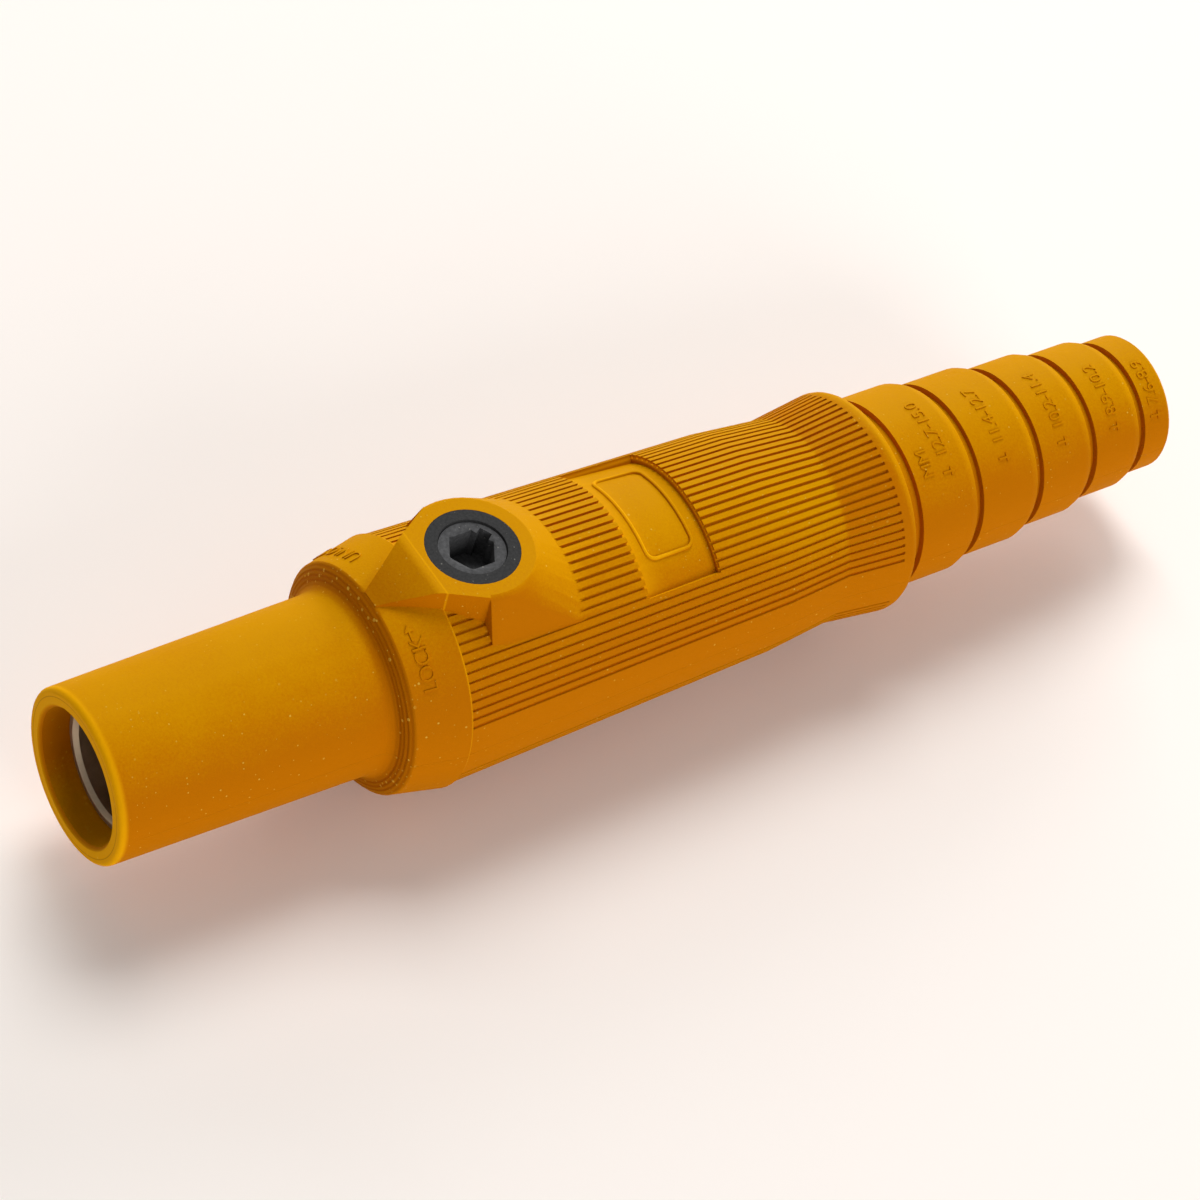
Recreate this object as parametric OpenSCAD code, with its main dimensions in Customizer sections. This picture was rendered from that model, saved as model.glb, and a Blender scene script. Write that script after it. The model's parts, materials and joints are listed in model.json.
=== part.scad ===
// Inline single-pole power plug, socket type, for one unshielded power conductor.
// A moulded rubber sleeve holds a brass socket contact, which one keyed screw retains.
// Frame: origin at the centre of the front face, +X toward the cable end, +Z through the screw boss.

/* [Nose] */
// Length of the nose, from the front face to the collar
nose_len = 27.0; // [24:0.5:32]
// Outside diameter of the nose at its front face
nose_front_d = 15.9; // [15.4:0.1:17]
// Growth of the nose diameter from the front face to the collar
nose_taper = 0.7; // [0:0.1:1.2]
// Inside diameter of the nose
nose_bore_d = 12.4; // [12:0.1:13]
// Chamfer at the mouth of the nose
mouth_chamfer = 0.3; // [0.2:0.1:0.6]
// Radius of the nose's outer front edge
nose_round = 0.5; // [0.2:0.1:0.8]
// Radius of the fillet between the nose and the collar
collar_fillet = 1.3; // [0.8:0.1:1.6]

/* [Collar] */
// Length of the conical collar
collar_len = 5.2; // [4:0.2:7]
// Diameter of the collar at its front edge
collar_front_d = 21.3; // [20.5:0.1:22]
// Diameter of the collar at its rear edge
collar_rear_d = 23.3; // [23:0.1:24]

/* [Grip] */
// Length of the grip's long taper
grip_len = 34.8; // [32:0.2:40]
// Diameter of the grip behind the collar
grip_front_d = 23.0; // [22.4:0.1:23.2]
// Diameter of the grip where its long taper ends
grip_rear_d = 20.9; // [20.2:0.1:21.6]
// Length of the short taper into the neck
neck_len = 6.8; // [5:0.2:9]
// Diameter of the neck
neck_d = 19.6; // [19.2:0.1:20.2]
// Length from the neck to the rear face of the flare
flare_len = 7.4; // [6:0.2:9]
// Largest diameter of the flare
flare_d = 21.1; // [20.6:0.1:22]
// Radius of the flare's rear edge
flare_round = 1.0; // [0.6:0.1:1.3]
// Length of the plain rim behind the ribs
rim_len = 1.7; // [1.4:0.1:3]
// Width of the groove between the flare and the first ring
flare_groove_w = 1.5; // [1:0.1:2]

/* [Finger ribs] */
// Angle from one rib groove to the next
rib_pitch = 4.35; // [4:0.05:6]
// Half of the angle that each ribbed sector covers
rib_half_angle = 75; // [60:1:80]
// Width of a rib groove
rib_groove_w = 0.3; // [0.25:0.01:0.45]
// Depth of a rib groove
rib_groove_depth = 0.35; // [0.2:0.05:0.6]

/* [Label panel] */
// Distance from the collar to the panel
panel_offset = 19.5; // [16:0.2:22]
// Length of the panel
panel_len = 7.8; // [6:0.1:9]
// Half of the angle that the panel covers
panel_half_angle = 45; // [30:1:50]
// Depth of the panel's rear step
panel_rear_depth = 0.8; // [0.5:0.05:1]

/* [Cable seal rings] */
// Outside diameters of the trim-back rings, from the flare to the cable end
ring_d = [18.2, 16.93, 15.66, 14.39, 13.12];
// Lengths of the trim-back rings
ring_len = [9.0, 7.6, 6.9, 6.4, 3.3];
// Wall of every ring
ring_wall = 2.75; // [2:0.05:3]
// Width of the cutting groove behind a ring
trim_groove_w = 0.9; // [0.6:0.05:1.2]
// Depth of the cutting groove below the next ring
trim_groove_depth = 0.6; // [0.4:0.05:0.8]
// Length of the bevel at a ring's rear edge
ring_bevel_len = 1.1; // [0.5:0.1:1.5]
// Drop of that bevel
ring_bevel_drop = 0.5; // [0.2:0.05:0.6]

/* [Screw boss] */
// Distance from the collar's rear edge to the axis of the boss
boss_offset = 4.8; // [4.4:0.1:6]
// Height of the boss above the plug's axis
boss_h = 13.05; // [12.6:0.05:13.6]
// Diameter of the flat top of the boss
boss_top_d = 11.0; // [10.4:0.1:11.6]
// Distance from the boss axis to the foot of its front wall
boss_front_len = 1.6; // [1:0.1:2.4]
// Distance from the boss axis to the root of its rear slope, below the grip's surface
boss_rear_len = 9.2; // [8.4:0.1:10]
// Half of the angle that the root of the boss covers
boss_half_angle = 50; // [46:0.5:54]
// Depth of the root of the boss below the grip's surface
boss_root_depth = 0.55; // [0.5:0.05:0.8]
// Width of the pointer at its tip
pointer_tip_w = 1.8; // [1.4:0.1:2.6]
// Width of the pointer at the boss
pointer_root_w = 11.2; // [10.4:0.1:12]
// Sweep of the pointer's sides: 1 is straight, more is hollow
pointer_sweep = 1.05; // [1:0.05:1.6]
// Distance from the boss axis to the upper end of the pointer's slope
pointer_top_len = 5.3; // [4.8:0.1:6]

/* [Retaining screw] */
// Outside diameter of the bushing around the screw
bushing_d = 8.48; // [8:0.02:9]
// Length of the bushing
bushing_len = 4.4; // [3.6:0.1:4.8]
// Diameter of the screw's head
screw_head_d = 6.0; // [5.6:0.1:6.4]
// Length of the screw's head
screw_head_len = 4.7; // [4:0.1:5.2]
// Depth of the screw's top face below the bushing
screw_sink = 0.25; // [0.1:0.05:0.5]
// Diameter of the screw's point
screw_point_d = 4.6; // [4:0.1:5]
// Length of the screw's point
screw_point_len = 4.2; // [3:0.1:4.4]
// Width across the flats of the key recess
key_af = 3.9; // [3.4:0.1:4.1]
// Depth of the key recess
key_depth = 3.2; // [2:0.1:3.6]
// Width of the keying notch at one flat of the recess
key_notch_w = 1.2; // [0.8:0.1:1.4]
// Depth of the keying notch
key_notch_depth = 0.55; // [0.3:0.05:0.6]

/* [Socket contact] */
// Depth of the contact's front end inside the nose
contact_setback = 2.8; // [2:0.1:4]
// Length of the slim front section of the contact
socket_len = 27.2; // [25:0.2:29]
// Bore of the socket
socket_d = 10.1; // [9.6:0.1:10.4]
// Depth of the socket
socket_depth = 24.0; // [20:0.5:24]
// Lead-in chamfer of the socket
lead_in = 0.4; // [0.2:0.05:0.6]
// Bore of the relief at the bottom of the socket, where the cam pin stands
relief_d = 10.8; // [10.6:0.1:11.2]
// Length of the relief
relief_len = 8.0; // [6:0.5:9]
// Diameter of the thick rear section of the contact
cup_outer_d = 14.4; // [14:0.1:15]
// Length of the thick rear section of the contact
cup_outer_len = 36.0; // [34:0.5:37]
// Bore of the conductor cup
cup_d = 8.4; // [7.6:0.1:8.8]
// Depth of the conductor cup
cup_depth = 22.0; // [20:0.5:23]
// Offset of the cup's axis toward the boss, for more thread under the clamp screws
cup_shift = 0.6; // [0.4:0.1:0.8]
// Diameter of the cam pin in the socket
cam_pin_d = 2.0; // [1.6:0.1:2.4]
// Distance from the start of the relief to the cam pin
cam_pin_offset = 2.5; // [1.5:0.5:5]
// Height of the cam pin above the socket wall
cam_pin_reach = 1.2; // [0.8:0.1:1.6]
// Angle of the cam pin around the plug's axis, from the boss
cam_pin_angle = 215; // [0:5:355]

/* [Clamp screws] */
// Diameter of a clamp screw
clamp_d = 5.0; // [4.6:0.1:5.4]
// Distance from the rear end of the cup to the rear clamp screw
clamp_rear_offset = 5.6; // [5:0.1:7]
// Distance between the two clamp screws
clamp_spacing = 8.6; // [8:0.1:9.4]
// Width across the flats of a clamp screw's recess
clamp_af = 2.5; // [2:0.1:2.8]
// Depth of a clamp screw's recess
clamp_key_depth = 1.5; // [1:0.1:1.8]

/* [Hidden] */
$fn = 96;
// Radial clearance between pieces that fit into each other
fit = 0.05;
// Overshoot of a cut through an open face
over = 1;
// Tones of the rubber, the black plastic, the brass and the steel
rubber_tone = [0.84, 0.58, 0.02];
plastic_tone = [0.16, 0.16, 0.17];
brass_tone = [0.72, 0.64, 0.47];
steel_tone = [0.62, 0.62, 0.62];

// Stations along the plug's axis
collar_x = nose_len;
grip_x = collar_x + collar_len;
taper_x = grip_x + grip_len;
neck_x = taper_x + neck_len;
seal_x = neck_x + flare_len;
boss_x = grip_x + boss_offset;
panel_x = grip_x + panel_offset;
contact_x = contact_setback;
shoulder_x = contact_x + socket_len;
cup_end_x = shoulder_x + cup_outer_len;

// Largest radius of the nose, at the collar
nose_root_r = (nose_front_d + nose_taper) / 2;
// Radius of the passage for the thick section of the contact
passage_r = cup_outer_d / 2 + fit;
// Taper between that passage and the bore of the first ring
funnel_len = 3;
// Axial play behind the contact
contact_play = 1.5;
// Height of the hidden underside of the boss above the plug's axis
boss_base_z = 4;
// Depth of the pointer's hidden underside below its tip
pointer_root_depth = 2.2;
// Overlap of the pointer with the boss behind it
pointer_lap = 0.3;

// Radius of the grip at station x
function grip_r(x) = grip_front_d / 2
    + (grip_rear_d - grip_front_d) / 2 * (x - grip_x) / grip_len;
// Radius of the flare at station x
function flare_r(x) = neck_d / 2 + (flare_d - neck_d) / 2 * (x - neck_x) / (flare_len - flare_round);
// Sum of the first n values of list v
function total(v, n) = n <= 0 ? 0 : v[n - 1] + total(v, n - 1);
// Points on an arc around c with radius r, from angle a to angle b, in n steps
function arc(c, r, a, b, n = 6) =
    [for (i = [0:n]) c + r * [cos(a + (b - a) * i / n), sin(a + (b - a) * i / n)]];
// Station where ring i starts
function ring_x(i) = seal_x + total(ring_len, i);
// Outline points of ring i: its barrel, its bevelled rear edge and the cutting groove behind it
function ring_outline(i) =
    let (r = ring_d[i] / 2, x1 = ring_x(i + 1), last = i == len(ring_d) - 1)
    let (end = last ? x1 : x1 - trim_groove_w, next = last ? 0 : ring_d[i + 1] / 2)
    let (bevel = last ? ring_bevel_drop : ring_bevel_len)
    concat(
        [[ring_x(i) + (i == 0 ? flare_groove_w : 0), r]],
        [[end - bevel, r], [end - bevel / 3, r - ring_bevel_drop / 2], [end, r - ring_bevel_drop]],
        last ? [] : [[end, next - trim_groove_depth], [x1, next - trim_groove_depth]]);

// Solid of revolution about the plug's axis, from points given as [station, radius]
module turned(points) {
    rotate([90, 0, 90])
        rotate_extrude()
            polygon([for (p = points) [p[1], p[0]]]);
}

// Cylinder along the plug's axis between two stations
module bar(x0, x1, r) {
    translate([x0, 0, 0])
        rotate([0, 90, 0])
            cylinder(r = r, h = x1 - x0);
}

// Cylinder along +Z between two heights
module post(z0, z1, r) {
    translate([0, 0, z0])
        cylinder(r = r, h = z1 - z0);
}

// Outer shape of the sleeve without the ribs and the boss
module sleeve_outline() {
    fillet_c = [collar_x - collar_fillet - 0.5, nose_root_r + collar_fillet];
    turned(concat(
        [[0, 0]],
        arc([nose_round, nose_front_d / 2 - nose_round], nose_round, 180, 90, 4),
        arc(fillet_c, collar_fillet, -90, 0, 6),
        [[collar_x - 0.2, collar_front_d / 2 - 0.35], [collar_x + 0.15, collar_front_d / 2]],
        [[grip_x - 0.15, collar_rear_d / 2], [grip_x, collar_rear_d / 2 - 0.1]],
        [[grip_x, grip_front_d / 2], [taper_x, grip_rear_d / 2], [neck_x, neck_d / 2]],
        arc([seal_x - flare_round, flare_d / 2 - flare_round], flare_round, 90, 0, 5),
        [for (x = [seal_x, seal_x + flare_groove_w]) [x, ring_d[0] / 2 - trim_groove_depth]],
        [for (i = [0:len(ring_d) - 1]) each ring_outline(i)],
        [[ring_x(len(ring_d)), 0]]));
}

// One blade that cuts a groove along the grip, the neck and the flare, up to the plain rim
module rib_blade() {
    deep = rib_groove_depth;
    reach = collar_rear_d / 2 + 2 * over;
    start_x = grip_x + 0.1;
    end_x = seal_x - rim_len;
    rotate([90, 0, 0])
        linear_extrude(height = rib_groove_w, center = true)
            polygon([
                [start_x, grip_r(start_x) - deep], [taper_x, grip_rear_d / 2 - deep],
                [neck_x, neck_d / 2 - deep], [end_x, flare_r(end_x) - deep],
                [end_x, reach], [start_x, reach]]);
}

// Grooves of both ribbed sectors, above and below the plain side panels
module rib_grooves() {
    steps = floor(rib_half_angle / rib_pitch);
    for (side = [0, 180])
        for (i = [-steps:steps])
            rotate([side + i * rib_pitch, 0, 0])
                rib_blade();
}

// Angular wedge about the plug's axis that covers a half angle on each side of +Z
module sector(x0, x1, half_angle, r) {
    side = r * tan(half_angle / 2);
    translate([x0, 0, 0])
        rotate([90, 0, 90])
            linear_extrude(height = x1 - x0)
                polygon([[0, 0], r * [sin(half_angle), cos(half_angle)], [side, r],
                    [-side, r], r * [-sin(half_angle), cos(half_angle)]]);
}

// Material removed for the label panel: rib depth at its front, a full step at its rear
module panel_cut() {
    x1 = panel_x + panel_len;
    front_r = grip_r(panel_x) - rib_groove_depth - 0.1;
    rear_r = grip_r(x1) - panel_rear_depth;
    intersection() {
        difference() {
            bar(panel_x, x1, collar_rear_d / 2 + over);
            turned([[panel_x - over, 0], [panel_x - over, front_r], [panel_x, front_r],
                [x1, rear_r], [x1 + over, rear_r], [x1 + over, 0]]);
        }
        sector(panel_x - over, x1 + over, panel_half_angle, collar_rear_d);
    }
}

// Points of the foot of the boss, an arc on the grip
function foot_arc(r) = arc([0, 0], r, 90 - boss_half_angle, 90 + boss_half_angle, 10);

// Boss around the retaining screw, with a round top, an upright front wall and a foot on the grip
module boss() {
    top_r = boss_top_d / 2;
    foot_x = boss_x - boss_front_len;
    foot_len = boss_front_len + boss_rear_len;
    root_r = grip_r(boss_x + boss_rear_len) - boss_root_depth;
    intersection() {
        hull() {
            translate([boss_x, 0, 0]) {
                post(boss_h - 0.4, boss_h, top_r, $fn = 48);
                post(boss_h - 0.8, boss_h - 0.15, top_r + 0.25, $fn = 48);
                post(boss_h - 1.3, boss_h - 0.45, top_r + 0.5, $fn = 48);
            }
            translate([foot_x, 0, 0])
                rotate([90, 0, 90])
                    linear_extrude(height = foot_len)
                        polygon(concat([[0, boss_base_z]], foot_arc(root_r)));
        }
        translate([foot_x, -boss_top_d, 0])
            cube([foot_len + over, 2 * boss_top_d, boss_h + over]);
    }
}

// Half width of the pointer at the fraction t of its length
function pointer_half_w(t) =
    pointer_tip_w / 2 + (pointer_root_w - pointer_tip_w) / 2 * pow(t, pointer_sweep);

// Pointer that slopes from the top of the boss down to the collar's front edge, with upright sides
module pointer() {
    tip_x = collar_x + 0.1;
    tip_z = collar_front_d / 2 + 0.05;
    root_x = boss_x - boss_front_len;
    top_x = boss_x - pointer_top_len;
    base_z = tip_z - pointer_root_depth;
    side = [for (i = [0:8]) [tip_x + (root_x - tip_x) * i / 8, pointer_half_w(i / 8)]];
    half = concat(side, [[root_x + pointer_lap, boss_top_d / 2 - 2 * pointer_lap]]);
    intersection() {
        translate([0, 0, base_z])
            linear_extrude(height = boss_h - base_z)
                polygon(concat(half, [for (i = [len(half) - 1:-1:0]) [half[i][0], -half[i][1]]]));
        rotate([90, 0, 0])
            linear_extrude(height = 2 * pointer_root_w, center = true)
                polygon([[tip_x - over, base_z - over],
                    [tip_x - over, tip_z - over * (boss_h - tip_z) / (top_x - tip_x)],
                    [top_x - 0.4, boss_h - 0.15], [top_x + 0.2, boss_h],
                    [boss_x + over, boss_h], [boss_x + over, base_z - over]]);
    }
}

// Passage for the contact and the stepped bore for the cable
module sleeve_bore() {
    n = len(ring_d);
    stop_x = cup_end_x + contact_play;
    bar(-over, shoulder_x + over, nose_bore_d / 2);
    turned([[-over, 0], [-over, nose_bore_d / 2 + mouth_chamfer + over],
        [mouth_chamfer, nose_bore_d / 2], [mouth_chamfer, 0]]);
    bar(shoulder_x, stop_x, passage_r);
    turned([[stop_x, 0], [stop_x, passage_r],
        [stop_x + funnel_len, ring_d[0] / 2 - ring_wall], [stop_x + funnel_len, 0]]);
    bar(stop_x + funnel_len, ring_x(1), ring_d[0] / 2 - ring_wall);
    for (i = [1:n - 1])
        bar(ring_x(i) - 0.01, ring_x(i + 1) + (i == n - 1 ? over : 0), ring_d[i] / 2 - ring_wall);
}

// Moulded rubber sleeve: nose, collar, ribbed grip, boss, flare and trim-back rings
module insulator_body() {
    color(rubber_tone)
        difference() {
            union() {
                difference() {
                    sleeve_outline();
                    rib_grooves();
                    panel_cut();
                }
                boss();
                pointer();
            }
            sleeve_bore();
            translate([boss_x, 0, 0]) {
                post(boss_h - bushing_len, boss_h + over, bushing_d / 2);
                post(0, boss_h, screw_head_d / 2 + fit);
            }
        }
}

// Black threaded bushing that is moulded into the boss
module screw_bushing() {
    color(plastic_tone)
        translate([boss_x, 0, 0])
            difference() {
                post(boss_h - bushing_len, boss_h, bushing_d / 2);
                post(0, boss_h + over, screw_head_d / 2 + fit);
            }
}

// Black retaining screw with a dished top and a keyed hexagon recess
module retaining_screw() {
    top_z = boss_h - screw_sink;
    neck_z = top_z - screw_head_len;
    r = screw_head_d / 2;
    color(plastic_tone)
        translate([boss_x, 0, 0])
            difference() {
                union() {
                    post(neck_z, top_z, r);
                    post(neck_z - screw_point_len, neck_z, screw_point_d / 2);
                }
                translate([0, 0, top_z])
                    rotate_extrude()
                        polygon([[0, -0.2], [r - 0.9, -0.2], [r - 0.5, 0], [r - 0.5, over], [0, over]]);
                translate([0, 0, top_z - key_depth])
                    cylinder(r = key_af / 2 / cos(30), h = key_depth + over, $fn = 6);
                rotate([0, 0, 30])
                    translate([0, -key_notch_w / 2, top_z - key_depth])
                        cube([key_af / 2 + key_notch_depth, key_notch_w, key_depth + over]);
            }
}

// Heights of the clamp screws' ends, measured down from the plug's axis
clamp_end = sqrt(pow(cup_outer_d / 2, 2) - pow(clamp_d / 2, 2));
clamp_tip = cup_d / 2 - cup_shift + 0.05;
clamp_rear_x = cup_end_x - clamp_rear_offset;
clamp_front_x = clamp_rear_x - clamp_spacing;

// Brass contact: a socket in front, a conductor cup behind and a seat for the retaining screw
module socket_contact() {
    slim_r = nose_bore_d / 2 - fit;
    bore_r = socket_d / 2;
    color(brass_tone)
        difference() {
            union() {
                turned([[contact_x, 0], [contact_x, slim_r - 0.2], [contact_x + 0.2, slim_r],
                    [shoulder_x, slim_r], [shoulder_x, 0]]);
                turned([[shoulder_x, 0], [shoulder_x, cup_outer_d / 2],
                    [cup_end_x - 0.6, cup_outer_d / 2], [cup_end_x, cup_outer_d / 2 - 0.6],
                    [cup_end_x, 0]]);
            }
            bar(contact_x - over, contact_x + socket_depth - relief_len + 0.01, bore_r);
            bar(contact_x + socket_depth - relief_len, contact_x + socket_depth, relief_d / 2);
            turned([[contact_x - over, 0], [contact_x - over, bore_r + lead_in + over],
                [contact_x + lead_in, bore_r], [contact_x + lead_in, 0]]);
            translate([0, 0, cup_shift])
                bar(cup_end_x - cup_depth, cup_end_x + over, cup_d / 2);
            translate([boss_x, 0, 0])
                post(boss_h - screw_sink - screw_head_len - screw_point_len - 0.8,
                    cup_outer_d, screw_point_d / 2 + fit);
            for (x = [clamp_front_x, clamp_rear_x])
                translate([x, 0, 0])
                    post(-cup_outer_d, 0, clamp_d / 2 + fit);
            cam_pin_place()
                post(0, cup_outer_d, cam_pin_d / 2);
        }
}

// Places its children at the cam pin, with +Z pointing out of the socket
module cam_pin_place() {
    translate([contact_x + socket_depth - relief_len + cam_pin_offset, 0, 0])
        rotate([cam_pin_angle, 0, 0])
            children();
}

// Pin pressed through the socket's wall, which the mating plug's cam slot turns behind
module cam_pin() {
    outer = sqrt(pow(nose_bore_d / 2 - fit, 2) - pow(cam_pin_d / 2, 2));
    color(steel_tone)
        cam_pin_place()
            post(socket_d / 2 - cam_pin_reach, outer, cam_pin_d / 2);
}

// Clamp screw with a hexagon recess, backed out until the conductor cup is clear
module clamp_screw(x) {
    color(steel_tone)
        translate([x, 0, 0])
            difference() {
                post(-clamp_end, -clamp_tip, clamp_d / 2);
                translate([0, 0, -clamp_end - over])
                    cylinder(r = clamp_af / 2 / cos(30), h = clamp_key_depth + over, $fn = 6);
            }
}

module clamp_screw_front() {
    clamp_screw(clamp_front_x);
}

module clamp_screw_rear() {
    clamp_screw(clamp_rear_x);
}

insulator_body();
screw_bushing();
retaining_screw();
socket_contact();
cam_pin();
clamp_screw_front();
clamp_screw_rear();
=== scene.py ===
"""Looks of the inline single-pole power plug: rubber sleeve, keyed screw and turned contact.

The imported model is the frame. Each piece that shows is a copy of its own solid with softened
edges. Small raised marks lie on the rings, on the collar and on the label panel.
"""

import json
import logging
import math
from dataclasses import dataclass, field
from enum import Enum
from typing import Any, Callable, Sequence

import bpy
from mathutils import Matrix, Vector

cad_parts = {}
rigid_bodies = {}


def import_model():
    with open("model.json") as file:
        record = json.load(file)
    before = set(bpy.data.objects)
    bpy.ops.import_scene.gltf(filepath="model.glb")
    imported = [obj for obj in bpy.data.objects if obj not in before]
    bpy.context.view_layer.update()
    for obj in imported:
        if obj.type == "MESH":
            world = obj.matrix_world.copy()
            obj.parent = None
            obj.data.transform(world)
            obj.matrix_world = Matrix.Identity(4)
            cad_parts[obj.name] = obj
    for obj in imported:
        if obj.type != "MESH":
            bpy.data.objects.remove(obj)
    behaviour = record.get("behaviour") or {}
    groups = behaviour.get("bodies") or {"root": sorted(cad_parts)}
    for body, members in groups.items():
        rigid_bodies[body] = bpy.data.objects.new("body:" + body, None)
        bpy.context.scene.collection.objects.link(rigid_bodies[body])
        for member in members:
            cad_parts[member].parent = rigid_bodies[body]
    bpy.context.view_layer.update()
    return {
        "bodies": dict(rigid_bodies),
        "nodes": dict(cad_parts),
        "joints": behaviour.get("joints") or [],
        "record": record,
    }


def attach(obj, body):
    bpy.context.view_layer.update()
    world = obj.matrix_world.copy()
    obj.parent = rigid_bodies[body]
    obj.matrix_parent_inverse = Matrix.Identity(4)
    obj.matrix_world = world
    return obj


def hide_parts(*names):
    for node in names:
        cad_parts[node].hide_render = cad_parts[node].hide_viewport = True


LOG = logging.getLogger("plug")
MM = 0.001
PHOTO_PX = 1200.0
SENSOR_MM = 36.0
NOISE_MIDDLE = 0.5
BUMP_STRENGTH = 0.8

# Points of a CAD copy and of a mark that lie this near to each other, in metres, are merged.
CAD_MERGE_M = 2e-6
MARK_MERGE_M = 1e-6

# Faces that meet at less than this angle, in degrees, are joined.
FLAT_DEGREES = 0.4

# Numbers of a Mix node's sockets when it mixes colours.
MIX_RESULT, MIX_FACTOR, MIX_FIRST, MIX_SECOND = 2, 0, 6, 7

# Stretches of the ribbed grip in millimetres: two stations, then the radius at both for the
# first stretch and the change of the radius up to both for the others.
GRIP_LEGS = ((32.2, 67.0, 11.5, 10.45), (67.0, 73.8, 0.0, -0.65), (73.8, 80.0, 0.0, 0.75))

# Angle between two points of a rounded corner of the label panel's border.
CORNER_STEP_DEGREES = 15

# Faces across an edge that is rounded widely, and across any other softened edge.
WIDE_SEGMENTS = 3
EDGE_SEGMENTS = 2

# One side of an arrow in millimetres, from its tail to its point.
HALF_ARROW = ((-0.7, 0.09), (0.15, 0.09), (0.15, 0.42), (0.7, 0.0))

Triple = tuple[float, float, float]
Colour = tuple[float, float, float, float]
Pair = tuple[float, float]
Line = tuple[Pair, Pair]
Outline = list[Pair]
Stops = Sequence[tuple[float, Sequence[float]]]
EdgeTest = Callable[[Vector, float], bool]


def srgb(red: float, green: float, blue: float) -> Colour:
    """Turn a colour as seen on a screen, 0 to 255, into linear values.

    Args:
        red: Red from 0 to 255.
        green: Green from 0 to 255.
        blue: Blue from 0 to 255.

    Returns:
        Linear red, green, blue and an alpha of 1.
    """
    values = []
    for value in (red, green, blue):
        part = value / 255.0
        values.append(part / 12.92 if part <= 0.04045 else ((part + 0.055) / 1.055) ** 2.4)
    return values[0], values[1], values[2], 1.0


# ---------------------------------------------------------------- shader maths


@dataclass
class Flow:
    """An output socket of a node tree, with arithmetic that adds Math nodes."""

    tree: "Recipe"
    socket: bpy.types.NodeSocket

    def _maths(self, operation: str, first: Any, second: Any = None) -> "Flow":
        """Add one Math node for an operation on one or two values."""
        values = {0: first} if second is None else {0: first, 1: second}
        return self.tree.node("ShaderNodeMath", {"operation": operation}, values)

    def __add__(self, other: Any) -> "Flow":
        """Sum."""
        return self._maths("ADD", self, other)

    __radd__ = __add__

    def __mul__(self, other: Any) -> "Flow":
        """Product."""
        return self._maths("MULTIPLY", self, other)

    __rmul__ = __mul__

    def __sub__(self, other: Any) -> "Flow":
        """Difference."""
        return self._maths("SUBTRACT", self, other)

    def __rsub__(self, other: Any) -> "Flow":
        """Difference with this socket on the right."""
        return self._maths("SUBTRACT", other, self)

    def __pow__(self, other: Any) -> "Flow":
        """Power."""
        return self._maths("POWER", self, other)

    def above(self, level: float) -> "Flow":
        """Return 1 where the value is above a level and 0 elsewhere."""
        return self._maths("GREATER_THAN", self, level)

    def absolute(self) -> "Flow":
        """Return the size of the value without its sign."""
        return self._maths("ABSOLUTE", self)

    def sine(self) -> "Flow":
        """Return the sine of the value."""
        return self._maths("SINE", self)

    def fade(self, start: float, end: float) -> "Flow":
        """Return 0 to 1 as the value goes from start to end, smoothly and held at both ends."""
        settings = {"interpolation_type": "SMOOTHSTEP", "clamp": True}
        inputs = {"Value": self, "From Min": start, "From Max": end, "To Min": 0.0, "To Max": 1.0}
        return self.tree.node("ShaderNodeMapRange", settings, inputs)

    def stretch(self, start: float, end: float, low: float, high: float) -> "Flow":
        """Return low to high in a straight line from start to end, held at both ends."""
        inputs = {"Value": self, "From Min": start, "From Max": end, "To Min": low, "To Max": high}
        return self.tree.node("ShaderNodeMapRange", {"clamp": True}, inputs)

    def near(self, centre: float, reach: float) -> "Flow":
        """Return 1 at a value, down to 0 at a distance from it."""
        return 1.0 - (self - centre).absolute().fade(0.0, reach)

    def between(self, entry: Pair, leave: Pair) -> "Flow":
        """Return 1 between two spans, rising over the first and falling over the second."""
        return self.fade(*entry) * (1.0 - self.fade(*leave))


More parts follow.
